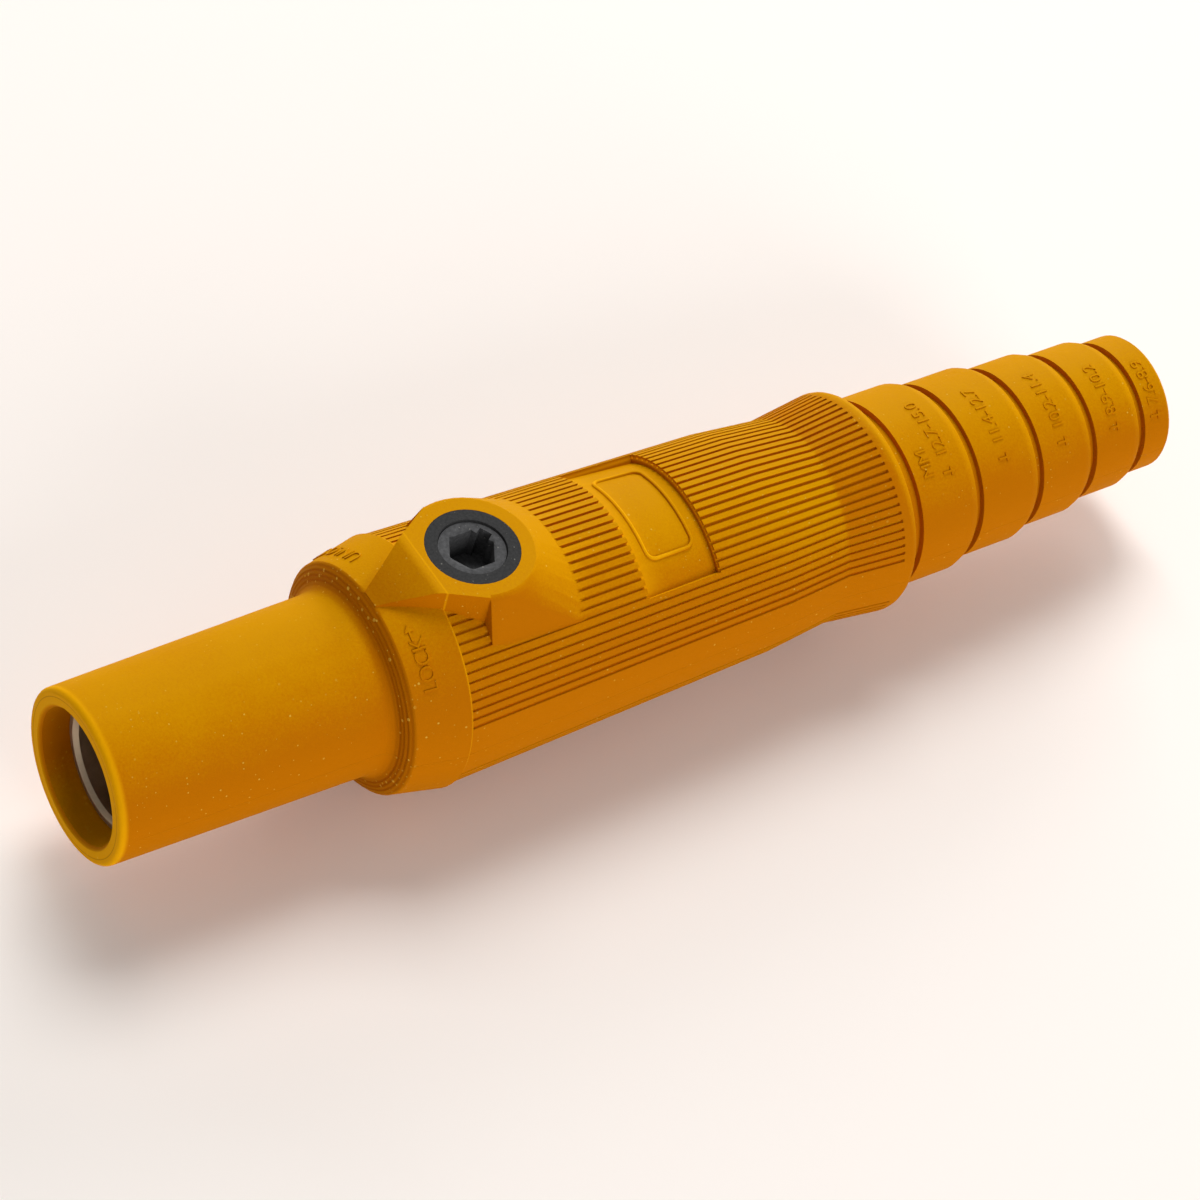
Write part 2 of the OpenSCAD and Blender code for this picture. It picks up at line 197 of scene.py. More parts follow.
class Recipe:
    """Node tree of one material, built from expressions."""

    def __init__(self, name: str) -> None:
        """Start a material with a Principled shader.

        Args:
            name: Name of the material.
        """
        self.material = bpy.data.materials.new(name)
        self.material.use_nodes = True
        self.nodes = self.material.node_tree.nodes
        self.links = self.material.node_tree.links
        self.shader = self.nodes["Principled BSDF"]

    def node(
        self, kind: str, settings: dict[str, Any], inputs: dict[Any, Any], output: Any = 0
    ) -> Flow:
        """Add any node.

        Args:
            kind: Type of the node.
            settings: Attributes set first; "stops" fills a colour ramp.
            inputs: Values or flows by socket name or number.
            output: Name or number of the output that is returned.

        Returns:
            The wrapped output socket.
        """
        made = self.nodes.new(kind)
        for key, value in settings.items():
            if key == "stops":
                self._fill_ramp(made.color_ramp, value)
            else:
                setattr(made, key, value)
        for key, value in inputs.items():
            if isinstance(value, Flow):
                self.links.new(value.socket, made.inputs[key])
            else:
                made.inputs[key].default_value = value
        return Flow(self, made.outputs[output])

    @staticmethod
    def _fill_ramp(ramp: bpy.types.ColorRamp, stops: Stops) -> None:
        """Give a colour ramp its stops, each a place and a colour."""
        while len(ramp.elements) > 1:
            ramp.elements.remove(ramp.elements[-1])
        for index, (place, colour) in enumerate(stops):
            element = ramp.elements[0] if index == 0 else ramp.elements.new(place)
            element.position = place
            element.color = colour

    def place(self) -> Flow:
        """Return the object coordinates."""
        return self.node("ShaderNodeTexCoord", {}, {}, "Object")

    def axes(self) -> tuple[Flow, Flow, Flow]:
        """Return the x, y and z of the object coordinates, in millimetres."""
        split = self.node("ShaderNodeSeparateXYZ", {}, {0: self.place()})
        outputs = split.socket.node.outputs
        x, y, z = (Flow(self, outputs[index]) * (1.0 / MM) for index in range(3))
        return x, y, z

    def facing(self, direction: Triple) -> Flow:
        """Return how far the surface faces a direction in the piece's own frame, from -1 to 1."""
        normal = self.node("ShaderNodeTexCoord", {}, {}, "Normal")
        inputs = {0: normal, 1: direction}
        return self.node("ShaderNodeVectorMath", {"operation": "DOT_PRODUCT"}, inputs, "Value")

    def noise(self, per_metre: float, detail: float = 2.0, roughness: float = 0.5) -> Flow:
        """Return a noise pattern with its centre at 0.5."""
        inputs = {"Vector": self.place(), "Scale": per_metre, "Detail": detail}
        inputs["Roughness"] = roughness
        return self.node("ShaderNodeTexNoise", {}, inputs, "Fac")

    def specks(self, per_metre: float, size: float) -> Flow:
        """Return 1 inside small scattered specks.

        Args:
            per_metre: Cells per metre.
            size: Radius of the largest speck as a share of its cell.

        Returns:
            The mask of the specks.
        """
        inputs = {"Vector": self.place(), "Scale": per_metre, "Randomness": 1.0}
        distance = self.node("ShaderNodeTexVoronoi", {}, inputs, "Distance")
        cell = self.node("ShaderNodeTexVoronoi", {}, inputs, "Color")
        chance = self.node("ShaderNodeSeparateColor", {}, {0: cell}, 0)
        return (size * chance - distance).above(0.0)

    def ramp(self, factor: Flow, stops: Stops) -> Flow:
        """Return a colour ramp over a factor."""
        return self.node("ShaderNodeValToRGB", {"stops": stops}, {0: factor})

    def blend(self, factor: Any, first: Any, second: Any) -> Flow:
        """Mix two colours by a factor."""
        settings = {"data_type": "RGBA", "clamp_factor": True}
        inputs = {MIX_FACTOR: factor, MIX_FIRST: first, MIX_SECOND: second}
        return self.node("ShaderNodeMix", settings, inputs, MIX_RESULT)

    def bump(self, height: Flow, distance_mm: float, strength: float = 1.0) -> Flow:
        """Return normals from a height in units of a distance."""
        inputs = {"Height": height, "Distance": distance_mm * MM, "Strength": strength}
        return self.node("ShaderNodeBump", {}, inputs)

    def feed(self, **values: Any) -> None:
        """Set or link sockets of the Principled shader, with underscores for spaces."""
        for key, value in values.items():
            target = self.shader.inputs[key.replace("_", " ")]
            if isinstance(value, Flow):
                self.links.new(value.socket, target)
            else:
                target.default_value = value


# ---------------------------------------------------------------- finishes


@dataclass(frozen=True)
class Dust:
    """Small scattered specks that lie in patches."""

    per_metre: float
    size: float
    patches_per_metre: float
    patch_edge: Pair

    def mask(self, tree: Recipe) -> Flow:
        """Return 1 on the specks inside the patches and 0 elsewhere."""
        patches = tree.noise(self.patches_per_metre).fade(*self.patch_edge)
        return tree.specks(self.per_metre, self.size) * patches


@dataclass(frozen=True)
class RubberPlaces:
    """Where the looks of the sleeve change, in millimetres."""

    # Fades from one station to another.
    waist_start: Pair = (58.0, 72.0)
    flare_start: Pair = (73.5, 74.3)
    flare_end: Pair = (79.6, 80.4)
    ribs_start: Pair = (32.3, 32.6)
    ribs_end: Pair = (79.8, 80.2)
    rim_end: Pair = (0.25, 0.9)
    bore_start: Pair = (0.3, 2.0)
    bore_end: Pair = (20.0, 22.0)
    seam_start: Pair = (1.0, 3.0)
    tip_end: Pair = (27.5, 32.0)

    # Fades from one radius or height to another.
    face_r: Pair = (8.5, 9.0)
    rim_r: Pair = (6.25, 6.6)
    bore_r: Pair = (6.3, 6.5)
    seam_r: Pair = (6.4, 6.6)
    flash_r: Pair = (11.3, 11.5)
    tip_z: Pair = (10.5, 11.0)

    # Middles, each with the distance at which it has faded away.
    face: Pair = (26.7, 0.8)
    lip: Pair = (0.0, 0.5)
    lip_r: Pair = (7.2, 0.08)
    seam_z: Pair = (0.0, 0.09)
    flash: Pair = (32.2, 0.14)
    groove_depth: Pair = (0.35, 0.25)


@dataclass(frozen=True)
class RubberShares:
    """How strongly each mask of the rubber counts."""

    # In the painted light on the upper faces, with random cloud and grain tone; the waist gets
    # more painted light, the cone's painted shade is taken away.
    cloud_mottle: float = 0.5
    grain_mottle: float = 0.6
    waist_light: float = 0.3
    cone_shade: float = 0.35

    # In the bright colour: real flash and turning marks, a painted highlight on the mouth's rim
    # and painted light in the rib grooves.
    groove_fill_light: float = 0.8
    rim_highlight: float = 0.8
    flash_bright: float = 0.5
    turned_bright: float = 0.15

    # In the dark colour: a line on the mouth's lip, and painted shade on the collar's front face
    # and on the pointer's top.
    lip_grime: float = 0.5
    face_shade: float = 0.45
    tip_shade: float = 0.35

    # In the dust.
    fine_dust: float = 0.5
    coarse_dust: float = 0.5
    crumb_dust: float = 0.6
    bore_crumbs: float = 0.3

    # In the roughness and the relief.
    grain_roughness: float = 0.3
    grain_relief: float = 0.5
    cloud_relief: float = 0.5
    fleck_relief: float = 0.7
    seam_relief: float = 0.6


@dataclass(frozen=True)
class RubberFinish:
    """Ochre moulded rubber: painted light, shade, tool marks at collar and mouth, flash, dust."""

    name: str = "ochre_rubber"
    shade: Triple = (188, 108, 0)
    painted_lit_tone: Triple = (208, 143, 0)
    bright: Triple = (238, 170, 4)
    grime_and_shade: Triple = (148, 72, 0)
    dust: Triple = (240, 198, 78)
    sheen_tint: Triple = (255, 200, 0)
    roughness: float = 0.6
    relief_mm: float = 0.07
    cloud_per_metre: float = 110.0
    grain_per_metre: float = 4200.0
    turning_per_mm: float = 15.0
    painted_light_from: Triple = (0.41, 0.31, 0.86)
    painted_light_edge: Pair = (0.12, 1.05)
    fine: Dust = Dust(1700.0, 0.15, 140.0, (0.4, 0.6))
    coarse: Dust = Dust(820.0, 0.1, 90.0, (0.42, 0.6))
    crumb_specks: Pair = (1500.0, 0.28)
    at: RubberPlaces = RubberPlaces()
    share: RubberShares = RubberShares()

    def material(self) -> bpy.types.Material:
        """Build the rubber material."""
        tree = Recipe(self.name)
        at, share = self.at, self.share
        x, y, z = tree.axes()
        radius = (y * y + z * z) ** 0.5
        cloud = tree.noise(self.cloud_per_metre, 3.0, 0.6)
        grain = tree.noise(self.grain_per_metre, 3.0, 0.65)
        mottle = (cloud - NOISE_MIDDLE) * share.cloud_mottle
        mottle = mottle + (grain - NOISE_MIDDLE) * share.grain_mottle
        face = x.near(*at.face) * radius.fade(*at.face_r)
        turned = face * ((radius * self.turning_per_mm).sine() * 0.5 + 0.5)
        # Painted highlight on the mouth's rounded rim.
        lit_rim = (1.0 - x.fade(*at.rim_end)) * radius.fade(*at.rim_r)
        lip = x.near(*at.lip) * radius.near(*at.lip_r)
        inside = x.between(at.bore_start, at.bore_end) * (1.0 - radius.fade(*at.bore_r))
        seam = z.near(*at.seam_z) * x.fade(*at.seam_start) * radius.fade(*at.seam_r)
        flash = x.near(*at.flash) * radius.fade(*at.flash_r)
        tip = (1.0 - x.fade(*at.tip_end)) * z.fade(*at.tip_z)
        crumbs = tree.specks(*self.crumb_specks)
        crumbs = crumbs * (face + flash + inside * share.bore_crumbs + lip)
        fine = self.fine.mask(tree) * share.fine_dust
        coarse = self.coarse.mask(tree) * share.coarse_dust
        flecks = fine + coarse + crumbs * share.crumb_dust
        # Lighter colour: real flash and turning marks, and the painted highlight on the rim.
        wear = lit_rim * share.rim_highlight + flash * share.flash_bright + turned * share.turned_bright
        wear_and_highlight = tree.blend(wear, self._skin(tree, x, radius, mottle), srgb(*self.bright))
        # Darker colour: a line on the mouth's lip, and painted shade on the collar's front face
        # and the pointer's top, which face away from the lamps.
        dirt_and_shade = lip * share.lip_grime + face * share.face_shade + tip * share.tip_shade
        lined_and_shaded = tree.blend(dirt_and_shade, wear_and_highlight, srgb(*self.grime_and_shade))
        relief = grain * share.grain_relief + cloud * share.cloud_relief
        relief = relief + flecks * share.fleck_relief + turned + seam * share.seam_relief
        tree.feed(
            Base_Color=tree.blend(flecks, lined_and_shaded, srgb(*self.dust)),
            Roughness=self.roughness + (grain - NOISE_MIDDLE) * share.grain_roughness,
            Normal=tree.bump(relief, self.relief_mm, BUMP_STRENGTH),
            Specular_IOR_Level=0.01,
            Sheen_Weight=0.2,
            Sheen_Roughness=0.45,
            Sheen_Tint=srgb(*self.sheen_tint),
        )
        return tree.material

    def _skin(self, tree: Recipe, x: Flow, radius: Flow, mottle: Flow) -> Flow:
        """Colour the skin with painted light and shade, and the rib grooves with painted light.

        Args:
            tree: Nodes of the material.
            x: Station in millimetres.
            radius: Distance from the axis in millimetres.
            mottle: Uneven random tone added to the painted light.

        Returns:
            The colour.
        """
        at, share = self.at, self.share
        # Painted light on the waist before the flare, and painted shade on the flare's front cone.
        lit_waist = x.between(at.waist_start, at.flare_start)
        shaded_cone = x.between(at.flare_start, at.flare_end)
        # Painted light: the skin goes from the shade tone to the lit tone as it faces the main
        # lamps, with random mottle.
        painted_light = tree.facing(self.painted_light_from) + mottle
        painted_light = painted_light + lit_waist * share.waist_light - shaded_cone * share.cone_shade
        # Painted light in the rib grooves, lifting the shade that falls in them.
        depth = self.grip_radius(x) - radius
        groove = depth.near(*at.groove_depth) * x.between(at.ribs_start, at.ribs_end)
        skin = tree.blend(painted_light.fade(*self.painted_light_edge), srgb(*self.shade), srgb(*self.painted_lit_tone))
        return tree.blend(groove * share.groove_fill_light, skin, srgb(*self.bright))

    @staticmethod
    def grip_radius(x: Flow) -> Flow:
        """Return the radius of the ribbed grip at a station, in millimetres."""
        taper, neck, flare = (x.stretch(*leg) for leg in GRIP_LEGS)
        return taper + neck + flare


@dataclass(frozen=True)
class PlasticFinish:
    """Black moulded plastic with a fine grain and a little dust."""

    name: str
    tone: Triple
    grain_per_metre: float
    relief_mm: float
    roughness: float = 0.55
    dark_share: float = 0.8
    dust_tone: Triple = (160, 158, 150)
    dust_share: float = 0.5
    dust: Dust = Dust(2600.0, 0.2, 300.0, (0.4, 0.6))

    def material(self) -> bpy.types.Material:
        """Build the plastic material."""
        tree = Recipe(self.name)
        grain = tree.noise(self.grain_per_metre, 3.0, 0.6)
        dust = self.dust.mask(tree) * self.dust_share
        dark = srgb(*[self.dark_share * value for value in self.tone])
        tone = tree.ramp(grain, [(0.35, dark), (0.65, srgb(*self.tone))])
        tree.feed(
            Base_Color=tree.blend(dust, tone, srgb(*self.dust_tone)),
            Roughness=self.roughness + (grain - NOISE_MIDDLE) * 0.4,
            Normal=tree.bump(grain, self.relief_mm, BUMP_STRENGTH),
            Specular_IOR_Level=0.03,
        )
        return tree.material


@dataclass(frozen=True)
class MetalFinish:
    """Turned metal with fine rings about the plug's axis, dull patches and painted shade deep in
    the bore.
    """

    name: str
    bright: Triple
    dull: Triple
    roughness: float = 0.5
    rings_per_mm: float = 9.0
    cloud_per_metre: float = 500.0
    cloud_share: float = 0.75
    relief_mm: float = 0.012
    bore_shade_tone: Triple = (62, 38, 26)
    bore_shade_share: float = 0.85
    deep_start: Pair = (11.3, 11.9)
    deep_r: Pair = (5.1, 5.3)

    def material(self) -> bpy.types.Material:
        """Build the metal material."""
        tree = Recipe(self.name)
        x, y, z = tree.axes()
        radius = (y * y + z * z) ** 0.5
        turns = ((x + radius) * (self.rings_per_mm * math.tau)).sine() * 0.5 + 0.5
        cloud = tree.noise(self.cloud_per_metre, 4.0, 0.6)
        wear = cloud * self.cloud_share + turns * (1.0 - self.cloud_share)
        tone = tree.ramp(wear, [(0.3, srgb(*self.dull)), (0.7, srgb(*self.bright))])
        # Painted shade deep inside the bore.
        bore_shade = x.fade(*self.deep_start) * (1.0 - radius.fade(*self.deep_r))
        tree.feed(
            Base_Color=tree.blend(bore_shade * self.bore_shade_share, tone, srgb(*self.bore_shade_tone)),
            Metallic=1.0,
            Roughness=self.roughness + (cloud - NOISE_MIDDLE) * 0.25,
            Normal=tree.bump(turns, self.relief_mm, 0.5),
        )
        return tree.material


class Finish(Enum):
    """The finishes of the plug. None has the name of one of the CAD's own materials."""

    RUBBER = RubberFinish()
    BUSHING = PlasticFinish("bushing_plastic", (59, 59, 59), 3600.0, 0.03)
    SCREW = PlasticFinish("screw_nylon", (88, 88, 89), 2600.0, 0.06, 0.48)
    CONTACT = MetalFinish("plated_brass", (190, 172, 148), (158, 140, 116))
    STEEL = MetalFinish("plain_steel", (190, 190, 192), (150, 150, 152))

    def make(self) -> bpy.types.Material:
        """Return the material, built once."""
        found = bpy.data.materials.get(self.value.name)
        return found if found else self.value.material()


def dress(piece: bpy.types.Object, finish: Finish) -> None:
    """Give a piece one finish on all its faces.

    Args:
        piece: Object that is dressed.
        finish: The finish it takes.
    """
    piece.data.materials.clear()
    piece.data.materials.append(finish.make())


# ---------------------------------------------------------------- modelling by hand


def pick(piece: bpy.types.Object) -> None:
    """Select one object and make it active."""
    bpy.ops.object.select_all(action="DESELECT")
    piece.select_set(True)
    bpy.context.view_layer.objects.active = piece


def round_edges(piece: bpy.types.Object, width_mm: float, chosen: EdgeTest) -> int:
    """Round the edges that a test picks.

    Args:
        piece: Object at the origin.
        width_mm: Width of the rounding.
        chosen: Says yes or no from the middle of an edge in millimetres and the angle between
            its faces in degrees.

    Returns:
        The number of edges rounded.
    """
    mesh = piece.data
    normals: dict[tuple[int, int], list[Vector]] = {}
    for polygon in mesh.polygons:
        for key in polygon.edge_keys:
            normals.setdefault(key, []).append(polygon.normal.copy())
    pick(piece)
    bpy.ops.object.mode_set(mode="EDIT")
    bpy.ops.mesh.select_mode(type="EDGE")
    bpy.ops.mesh.select_all(action="DESELECT")
    bpy.ops.object.mode_set(mode="OBJECT")
    count = 0
    for edge in mesh.edges:
        pair = normals.get(edge.key, [])
        middle = (mesh.vertices[edge.vertices[0]].co + mesh.vertices[edge.vertices[1]].co) / 2 / MM
        if len(pair) == 2 and chosen(middle, math.degrees(pair[0].angle(pair[1], 0.0))):
            edge.select = True
            count += 1
    bpy.ops.object.mode_set(mode="EDIT")
    bevel = bpy.ops.mesh.bevel
    bevel(offset=width_mm * MM, segments=WIDE_SEGMENTS, affect="EDGES", clamp_overlap=True)
    bpy.ops.object.mode_set(mode="OBJECT")
    return count


def softened_copy(
    node: bpy.types.Object,
    name: str,
    width_mm: float,
    angle: float = 32.0,
    wide: tuple[float, EdgeTest] | None = None,
) -> bpy.types.Object:
    """Copy a CAD node, join its loose triangles and round its edges a little.

    Args:
        node: The CAD node.
        name: Name of the copy.
        width_mm: Width of the rounding.
        angle: Least angle in degrees between the faces of an edge that is rounded.
        wide: Width and test of edges that are rounded more, first.

    Returns:
        The new object, in the scene's main collection.
    """
    copy = bpy.data.objects.new(name, node.data.copy())
    bpy.context.scene.collection.objects.link(copy)
    pick(copy)
    if copy.data.has_custom_normals:
        bpy.ops.mesh.customdata_custom_splitnormals_clear()
    bpy.ops.object.mode_set(mode="EDIT")
    bpy.ops.mesh.select_all(action="SELECT")
    bpy.ops.mesh.remove_doubles(threshold=CAD_MERGE_M)
    bpy.ops.mesh.dissolve_limited(angle_limit=math.radians(FLAT_DEGREES))
    bpy.ops.object.mode_set(mode="OBJECT")
    if wide:
        LOG.info("%s: %d edges rounded widely", name, round_edges(copy, *wide))
    edges = copy.modifiers.new("edges", "BEVEL")
    edges.width = width_mm * MM
    edges.segments = EDGE_SEGMENTS
    edges.limit_method = "ANGLE"
    edges.angle_limit = math.radians(angle)
    edges.use_clamp_overlap = True
    edges.harden_normals = False
    bpy.ops.object.modifier_apply(modifier=edges.name)
    bpy.ops.object.shade_smooth_by_angle(angle=math.radians(angle))
    normals = copy.modifiers.new("normals", "WEIGHTED_NORMAL")
    normals.mode = "FACE_AREA_WITH_ANGLE"
    normals.keep_sharp = True
    bpy.ops.object.modifier_apply(modifier=normals.name)
    return copy


def remap(piece: bpy.types.Object, place: Callable[[Vector], Vector]) -> None:
    """Move every point of a piece's mesh.

    Args:
        piece: Object at the origin.
        place: Gives a point's new place from its old one.
    """
    for vertex in piece.data.vertices:
        vertex.co = place(vertex.co)
    piece.data.update()


# ---------------------------------------------------------------- sub-assemblies


@dataclass
class Profile:
    """Stretches of the sleeve that carry marks, each as (station, radius) pairs in millimetres."""

    collar: Line = ((27.15, 10.65), (32.05, 11.65))
    panel: Line = ((51.7, 10.46), (59.5, 9.93))
    rings: tuple[Line, ...] = (
        ((82.7, 9.1), (88.6, 9.1)),
        ((90.2, 8.465), (96.2, 8.465)),
        ((97.8, 7.83), (103.1, 7.83)),
        ((104.7, 7.195), (109.5, 7.195)),
        ((111.1, 6.56), (113.9, 6.56)),
    )

    @staticmethod
    def radius(line: Line, x: float) -> float:
        """Return the radius of a stretch at a station."""
        (x0, r0), (x1, r1) = line
        return r0 + (r1 - r0) * (x - x0) / (x1 - x0)


@dataclass
class Marks:
    """Small raised marks that are moulded on the sleeve.

    A place is a station in millimetres and an angle from the boss toward the near side, in
    degrees.
    """

    profile: Profile = field(default_factory=Profile)
    proud_mm: float = 0.11
    sunk_mm: float = 0.12
    collar_type_mm: float = 1.9
    ring_type_mm: float = 1.8
    letter_gap: float = 0.95
    letter_growth: float = -0.006
    lock_at: Pair = (29.5, 51.0)
    unlock_at: Pair = (29.5, -26.0)
    turn_arrow_at: Pair = (28.6, 23.0)
    unit_at: Pair = (84.9, 37.0)
    border_at: Pair = (55.6, 0.0)
    border_bead_mm: float = 0.19
    border_side_mm: float = 0.6
    sizes: tuple[str, ...] = ("12.7-15.0", "11.4-12.7", "10.2-11.4", "8.9-10.2", "7.6-8.9")
    first_base_mm: float = 1.4
    half_letter_mm: float = 0.55
    first_size_angle: float = 28.0
    size_angle_step: float = 4.0
    arrow_angle: float = 9.0
    pieces: list[bpy.types.Object] = field(default_factory=list)

    def build(self) -> bpy.types.Object:
        """Make every mark and join them into one piece.

        Returns:
            The joined marks.
        """
        collar = self.profile.collar
        self._words("LOCK", self.collar_type_mm, collar, self.lock_at)
        self._arrow(collar, self.turn_arrow_at, along_ring=True)
        self._words("UNLOCK", self.collar_type_mm, collar, self.unlock_at)
        for index, (words, line) in enumerate(zip(self.sizes, self.profile.rings)):
            shift = self.first_base_mm if index == 0 else self.half_letter_mm
            base = (line[0][0] + line[1][0]) / 2 + shift
            start = self.first_size_angle + self.size_angle_step * index
            self._words(words, self.ring_type_mm, line, (base, start))
            arrow_at = (base - self.half_letter_mm, start + self.arrow_angle)
            self._arrow(line, arrow_at, along_ring=False)
        self._words("MM", self.ring_type_mm, self.profile.rings[0], self.unit_at)
        self._border()
        pick(self.pieces[0])
        for piece in self.pieces:
            piece.select_set(True)
        bpy.ops.object.join()
        marks = bpy.context.object
        marks.name = "moulded_marks"
        return marks

    def _wrap(self, piece: bpy.types.Object, line: Line, at: Pair) -> None:
        """Lay a flat piece round the sleeve.

        Args:
            piece: Mesh whose x runs round the sleeve, y toward the front face and z outwards.
            line: Stretch of the sleeve it lies on.
            at: Place of its origin.
        """
        x0, theta0 = at
        middle = self.profile.radius(line, x0)

        def place(point: Vector) -> Vector:
            """Return the place on the sleeve of a flat point in metres."""
            x = x0 - point.y / MM
            theta = math.radians(theta0) - point.x / MM / middle
            r = self.profile.radius(line, x) + point.z / MM
            return Vector((x, -r * math.sin(theta), r * math.cos(theta))) * MM

        remap(piece, place)
        pick(piece)
        bpy.ops.object.mode_set(mode="EDIT")
        bpy.ops.mesh.select_all(action="SELECT")
        bpy.ops.mesh.remove_doubles(threshold=MARK_MERGE_M)
        bpy.ops.mesh.normals_make_consistent(inside=False)
        bpy.ops.object.mode_set(mode="OBJECT")
        self.pieces.append(piece)

    def _words(self, words: str, size_mm: float, line: Line, at: Pair) -> None:
        """Raise a short word or number.

        Args:
            words: The characters.
            size_mm: Size of the type.
            line: Stretch of the sleeve it lies on.
            at: Place where its base line starts.
        """
        bpy.ops.object.select_all(action="DESELECT")
        bpy.ops.object.text_add(location=(0, 0, 0))
        text = bpy.context.object
        text.data.body = words
        text.data.size = size_mm * MM
        text.data.space_character = self.letter_gap
        text.data.offset = self.letter_growth * size_mm * MM
        text.data.extrude = (self.proud_mm + self.sunk_mm) / 2 * MM
        text.data.resolution_u = 3
        bpy.ops.object.convert(target="MESH")
        piece = bpy.context.object
        lift = (self.proud_mm - self.sunk_mm) / 2 * MM
        remap(piece, lambda point: point + Vector((0, 0, lift)))
        self._wrap(piece, line, at)

    def _arrow(self, line: Line, at: Pair, along_ring: bool) -> None:
        """Raise a small arrow.

        Args:
            line: Stretch of the sleeve it lies on.
            at: Place of its middle.
            along_ring: Whether it points round the sleeve or toward the cable end.
        """
        outline = [*HALF_ARROW, *((u, -v) for u, v in reversed(HALF_ARROW[:-1]))]
        if not along_ring:
            outline = [(v, -u) for u, v in outline]
        bpy.ops.object.select_all(action="DESELECT")
        bpy.ops.mesh.primitive_circle_add(vertices=len(outline), radius=MM, fill_type="NGON")
        piece = bpy.context.object
        for vertex, (u, v) in zip(piece.data.vertices, outline):
            vertex.co = Vector((u, v, -self.sunk_mm)) * MM
        bpy.ops.object.mode_set(mode="EDIT")
        bpy.ops.mesh.select_all(action="SELECT")
        height = (self.proud_mm + self.sunk_mm) * MM
        bpy.ops.mesh.extrude_region_move(TRANSFORM_OT_translate={"value": (0, 0, height)})
        bpy.ops.object.mode_set(mode="OBJECT")
        self._wrap(piece, line, at)

    def _border(self, half_u: float = 5.0, half_v: float = 2.5, corner: float = 0.9) -> None:
        """Raise a thin rounded bead as the border of the label panel.

        Args:
            half_u: Half of its length round the sleeve, in millimetres.
            half_v: Half of its width along the sleeve.
            corner: Radius of its corners.
        """
        outline: Outline = []
        for quarter, (su, sv) in enumerate(((1, 1), (-1, 1), (-1, -1), (1, -1))):
            for turn in range(0, 91, CORNER_STEP_DEGREES):
                angle = math.radians(90 * quarter + turn)
                u = su * (half_u - corner) + corner * math.cos(angle)
                outline.append((u, sv * (half_v - corner) + corner * math.sin(angle)))
        outline = self._finer(outline, self.border_side_mm)
        bpy.ops.object.select_all(action="DESELECT")
        bpy.ops.mesh.primitive_circle_add(vertices=len(outline), radius=MM, fill_type="NOTHING")
        piece = bpy.context.object
        for vertex, (u, v) in zip(piece.data.vertices, outline):
            vertex.co = Vector((u, v, 0.0)) * MM
        bpy.ops.object.convert(target="CURVE")
        piece = bpy.context.object
        piece.data.bevel_depth = self.border_bead_mm * MM
        piece.data.bevel_resolution = 2
        bpy.ops.object.convert(target="MESH")
        self._wrap(bpy.context.object, self.profile.panel, self.border_at)

    @staticmethod
    def _finer(points: Outline, longest: float) -> Outline:
        """Return a closed outline with no side longer than a length in millimetres."""
        result: Outline = []
        for index, (u0, v0) in enumerate(points):
            u1, v1 = points[(index + 1) % len(points)]
            parts = max(1, math.ceil(math.hypot(u1 - u0, v1 - v0) / longest))
            for part in range(parts):
                result.append((u0 + (u1 - u0) * part / parts, v0 + (v1 - v0) * part / parts))
        return result


@dataclass
class Sleeve:
    """The moulded rubber sleeve with its marks, in millimetres and degrees."""

    edge_mm: float = 0.09
    boss_edge_mm: float = 0.5
    boss_stations: Pair = (27.0, 47.0)
    boss_least_z: float = 8.0
    boss_least_angle: float = 21.0
    screw_x: float = 37.0
    screw_bore_r: float = 5.1
    skin_margin: float = 0.12
    collar_skin: Line = ((27.0, 10.6), (32.2, 11.64))
    grip_skin: Line = ((32.2, 11.55), (67.0, 10.506))
    marks: Marks = field(default_factory=Marks)

    def on_boss(self, middle: Vector, angle: float) -> bool:
        """Say whether an edge shapes the outside of the boss or its pointer.

        Args:
            middle: Middle of the edge in millimetres.
            angle: Angle between its faces in degrees.

        Returns:
            True for the edges that are rounded widely.
        """
        x, y, z = middle
        first, last = self.boss_stations
        skin = Profile.radius(self.collar_skin if x < self.grip_skin[0][0] else self.grip_skin, x)
        outside = math.hypot(y, z) > skin + self.skin_margin
        bore = math.hypot(x - self.screw_x, y) < self.screw_bore_r
        upper = first < x < last and z > self.boss_least_z
        return angle > self.boss_least_angle and upper and outside and not bore

    def build(self, frame: dict[str, Any]) -> None:
        """Model and dress the sleeve.
        """
        node = frame["nodes"]["insulator_body"]
        dress(node, Finish.RUBBER)
        boss = (self.boss_edge_mm, self.on_boss)
        skin = softened_copy(node, "sleeve_skin", self.edge_mm, wide=boss)
        dress(skin, Finish.RUBBER)
        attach(skin, "plug")
        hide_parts("insulator_body")
        LOG.info("sleeve_skin: %d faces", len(skin.data.polygons))
        marks = self.marks.build()
        dress(marks, Finish.RUBBER)
        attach(marks, "plug")
        LOG.info("moulded_marks: %d faces", len(marks.data.polygons))


@dataclass
class Hardware:
    """The screw, its bushing, the contact, its pin and its clamp screws."""

    edge_mm: float = 0.07
    softened: dict[str, tuple[Finish, str, str]] = field(
        default_factory=lambda: {
            "screw_bushing": (Finish.BUSHING, "plug", "black_plastic"),
            "retaining_screw": (Finish.SCREW, "retainer", "black_plastic"),
            "socket_contact": (Finish.CONTACT, "plug", "contact_brass"),
        }
    )
    plain: tuple[str, ...] = ("cam_pin", "clamp_screw_front", "clamp_screw_rear")

    def build(self, frame: dict[str, Any]) -> None:
        """Model and dress each piece.
        """
        for name, (finish, body, slot) in self.softened.items():
            dress(frame["nodes"][name], finish)
            piece = softened_copy(frame["nodes"][name], name + "_finished", self.edge_mm)
            dress(piece, finish)
            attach(piece, body)
            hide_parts(name)
            LOG.info("%s: %d faces", piece.name, len(piece.data.polygons))
        for name in self.plain:
            dress(frame["nodes"][name], Finish.STEEL)
            LOG.info("dressed %s", name)


@dataclass(frozen=True)
class Lamp:
    """A square soft lamp: its place and width in metres and its power in watts."""

    name: str
    at: Triple
    size: float
    power: float


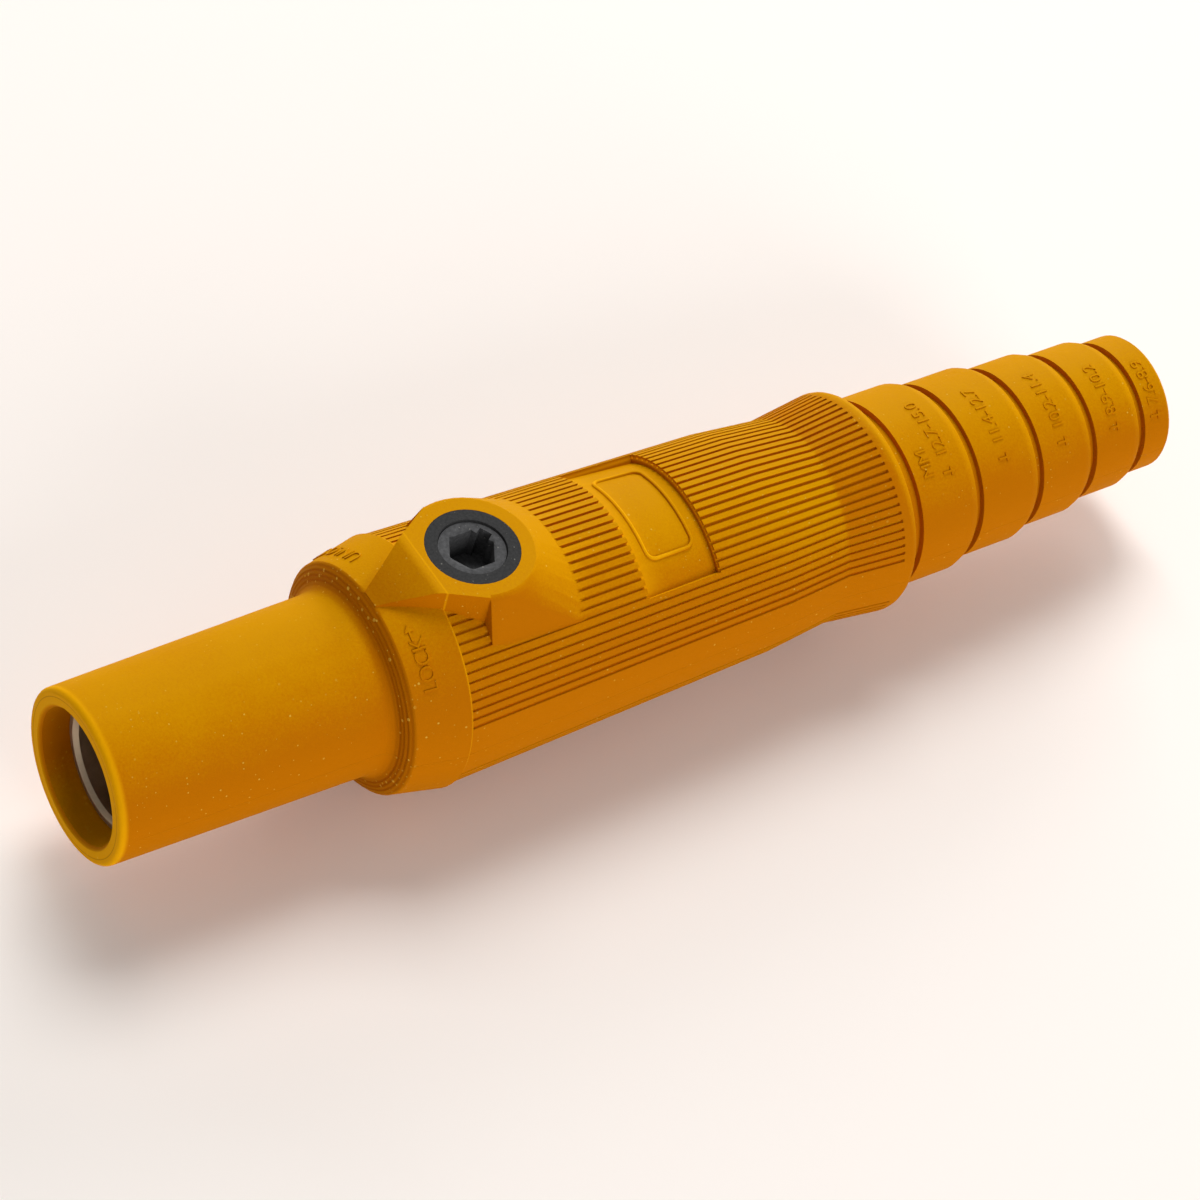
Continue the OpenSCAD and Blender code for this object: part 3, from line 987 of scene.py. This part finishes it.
@dataclass
class Studio:
    """Floor, lamps and camera. The camera's numbers come from a fit to the photographed edges."""

    focal_px: float = 4465.9
    eye_mm: Triple = (-137.83, -190.82, 293.64)
    right: Triple = (0.82616774, -0.52909635, 0.19365929)
    down: Triple = (-0.2979772, -0.7020279, -0.6468125)
    ahead: Triple = (0.47818035, 0.47666957, -0.73765145)
    clip_m: Pair = (0.01, 20.0)
    floor_z: float = -11.66
    floor_middle_x: float = 0.05
    floor_width: float = 6.0
    floor_tone: Triple = (255, 248, 242)
    world_tone: Colour = (1.0, 0.99, 0.98, 1.0)
    world_strength: float = 0.25
    aim: Triple = (0.06, 0.0, 0.0)
    lamps: tuple[Lamp, ...] = (
        Lamp("back", (1.14, 1.08, 0.50), 0.8, 14.0),
        Lamp("top", (0.46, 0.72, 1.38), 0.8, 15.5),
        Lamp("side", (0.18, -1.43, 0.45), 0.9, 13.0),
    )

    def build(self) -> None:
        """Make the whole set."""
        self._camera()
        self._floor()
        self._world()
        for lamp in self.lamps:
            self._hang(lamp)

    def _camera(self) -> None:
        """Place the camera as the photograph's perspective says."""
        data = bpy.data.cameras.new("camera")
        data.sensor_width = SENSOR_MM
        data.lens = SENSOR_MM * self.focal_px / PHOTO_PX
        data.clip_start, data.clip_end = self.clip_m
        camera = bpy.data.objects.new("camera", data)
        bpy.context.scene.collection.objects.link(camera)
        turn = Matrix([Vector(self.right), -Vector(self.down), -Vector(self.ahead)]).transposed()
        camera.matrix_world = Matrix.Translation(Vector(self.eye_mm) * MM) @ turn.to_4x4()
        bpy.context.scene.camera = camera

    def _floor(self) -> None:
        """Lay a wide pale floor under the plug."""
        bpy.ops.object.select_all(action="DESELECT")
        middle = (self.floor_middle_x, 0.0, self.floor_z * MM)
        bpy.ops.mesh.primitive_plane_add(size=self.floor_width, location=middle)
        floor = bpy.context.object
        floor.name = "floor"
        tree = Recipe("pale_floor")
        tree.feed(Base_Color=srgb(*self.floor_tone), Roughness=0.9, Specular_IOR_Level=0.0)
        floor.data.materials.append(tree.material)

    def _world(self) -> None:
        """Give the world a soft pale light."""
        world = bpy.data.worlds.new("studio")
        bpy.context.scene.world = world
        world.use_nodes = True
        background = world.node_tree.nodes["Background"]
        background.inputs["Color"].default_value = self.world_tone
        background.inputs["Strength"].default_value = self.world_strength

    def _hang(self, lamp: Lamp) -> None:
        """Hang one lamp and turn it to the plug.

        Args:
            lamp: The lamp.
        """
        data = bpy.data.lights.new(lamp.name, "AREA")
        data.size = lamp.size
        data.energy = lamp.power
        hung = bpy.data.objects.new(lamp.name, data)
        bpy.context.scene.collection.objects.link(hung)
        hung.location = lamp.at
        toward = Vector(self.aim) - Vector(lamp.at)
        hung.rotation_euler = toward.to_track_quat("-Z", "Y").to_euler()


def main() -> None:
    """Build the scene and report each piece."""
    logging.basicConfig(level=logging.INFO, format="%(message)s")
    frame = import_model()
    bpy.context.scene.view_settings.view_transform = "Standard"
    Studio().build()
    LOG.info("studio ready")
    Sleeve().build(frame)
    Hardware().build(frame)


if __name__ == "__main__":
    main()
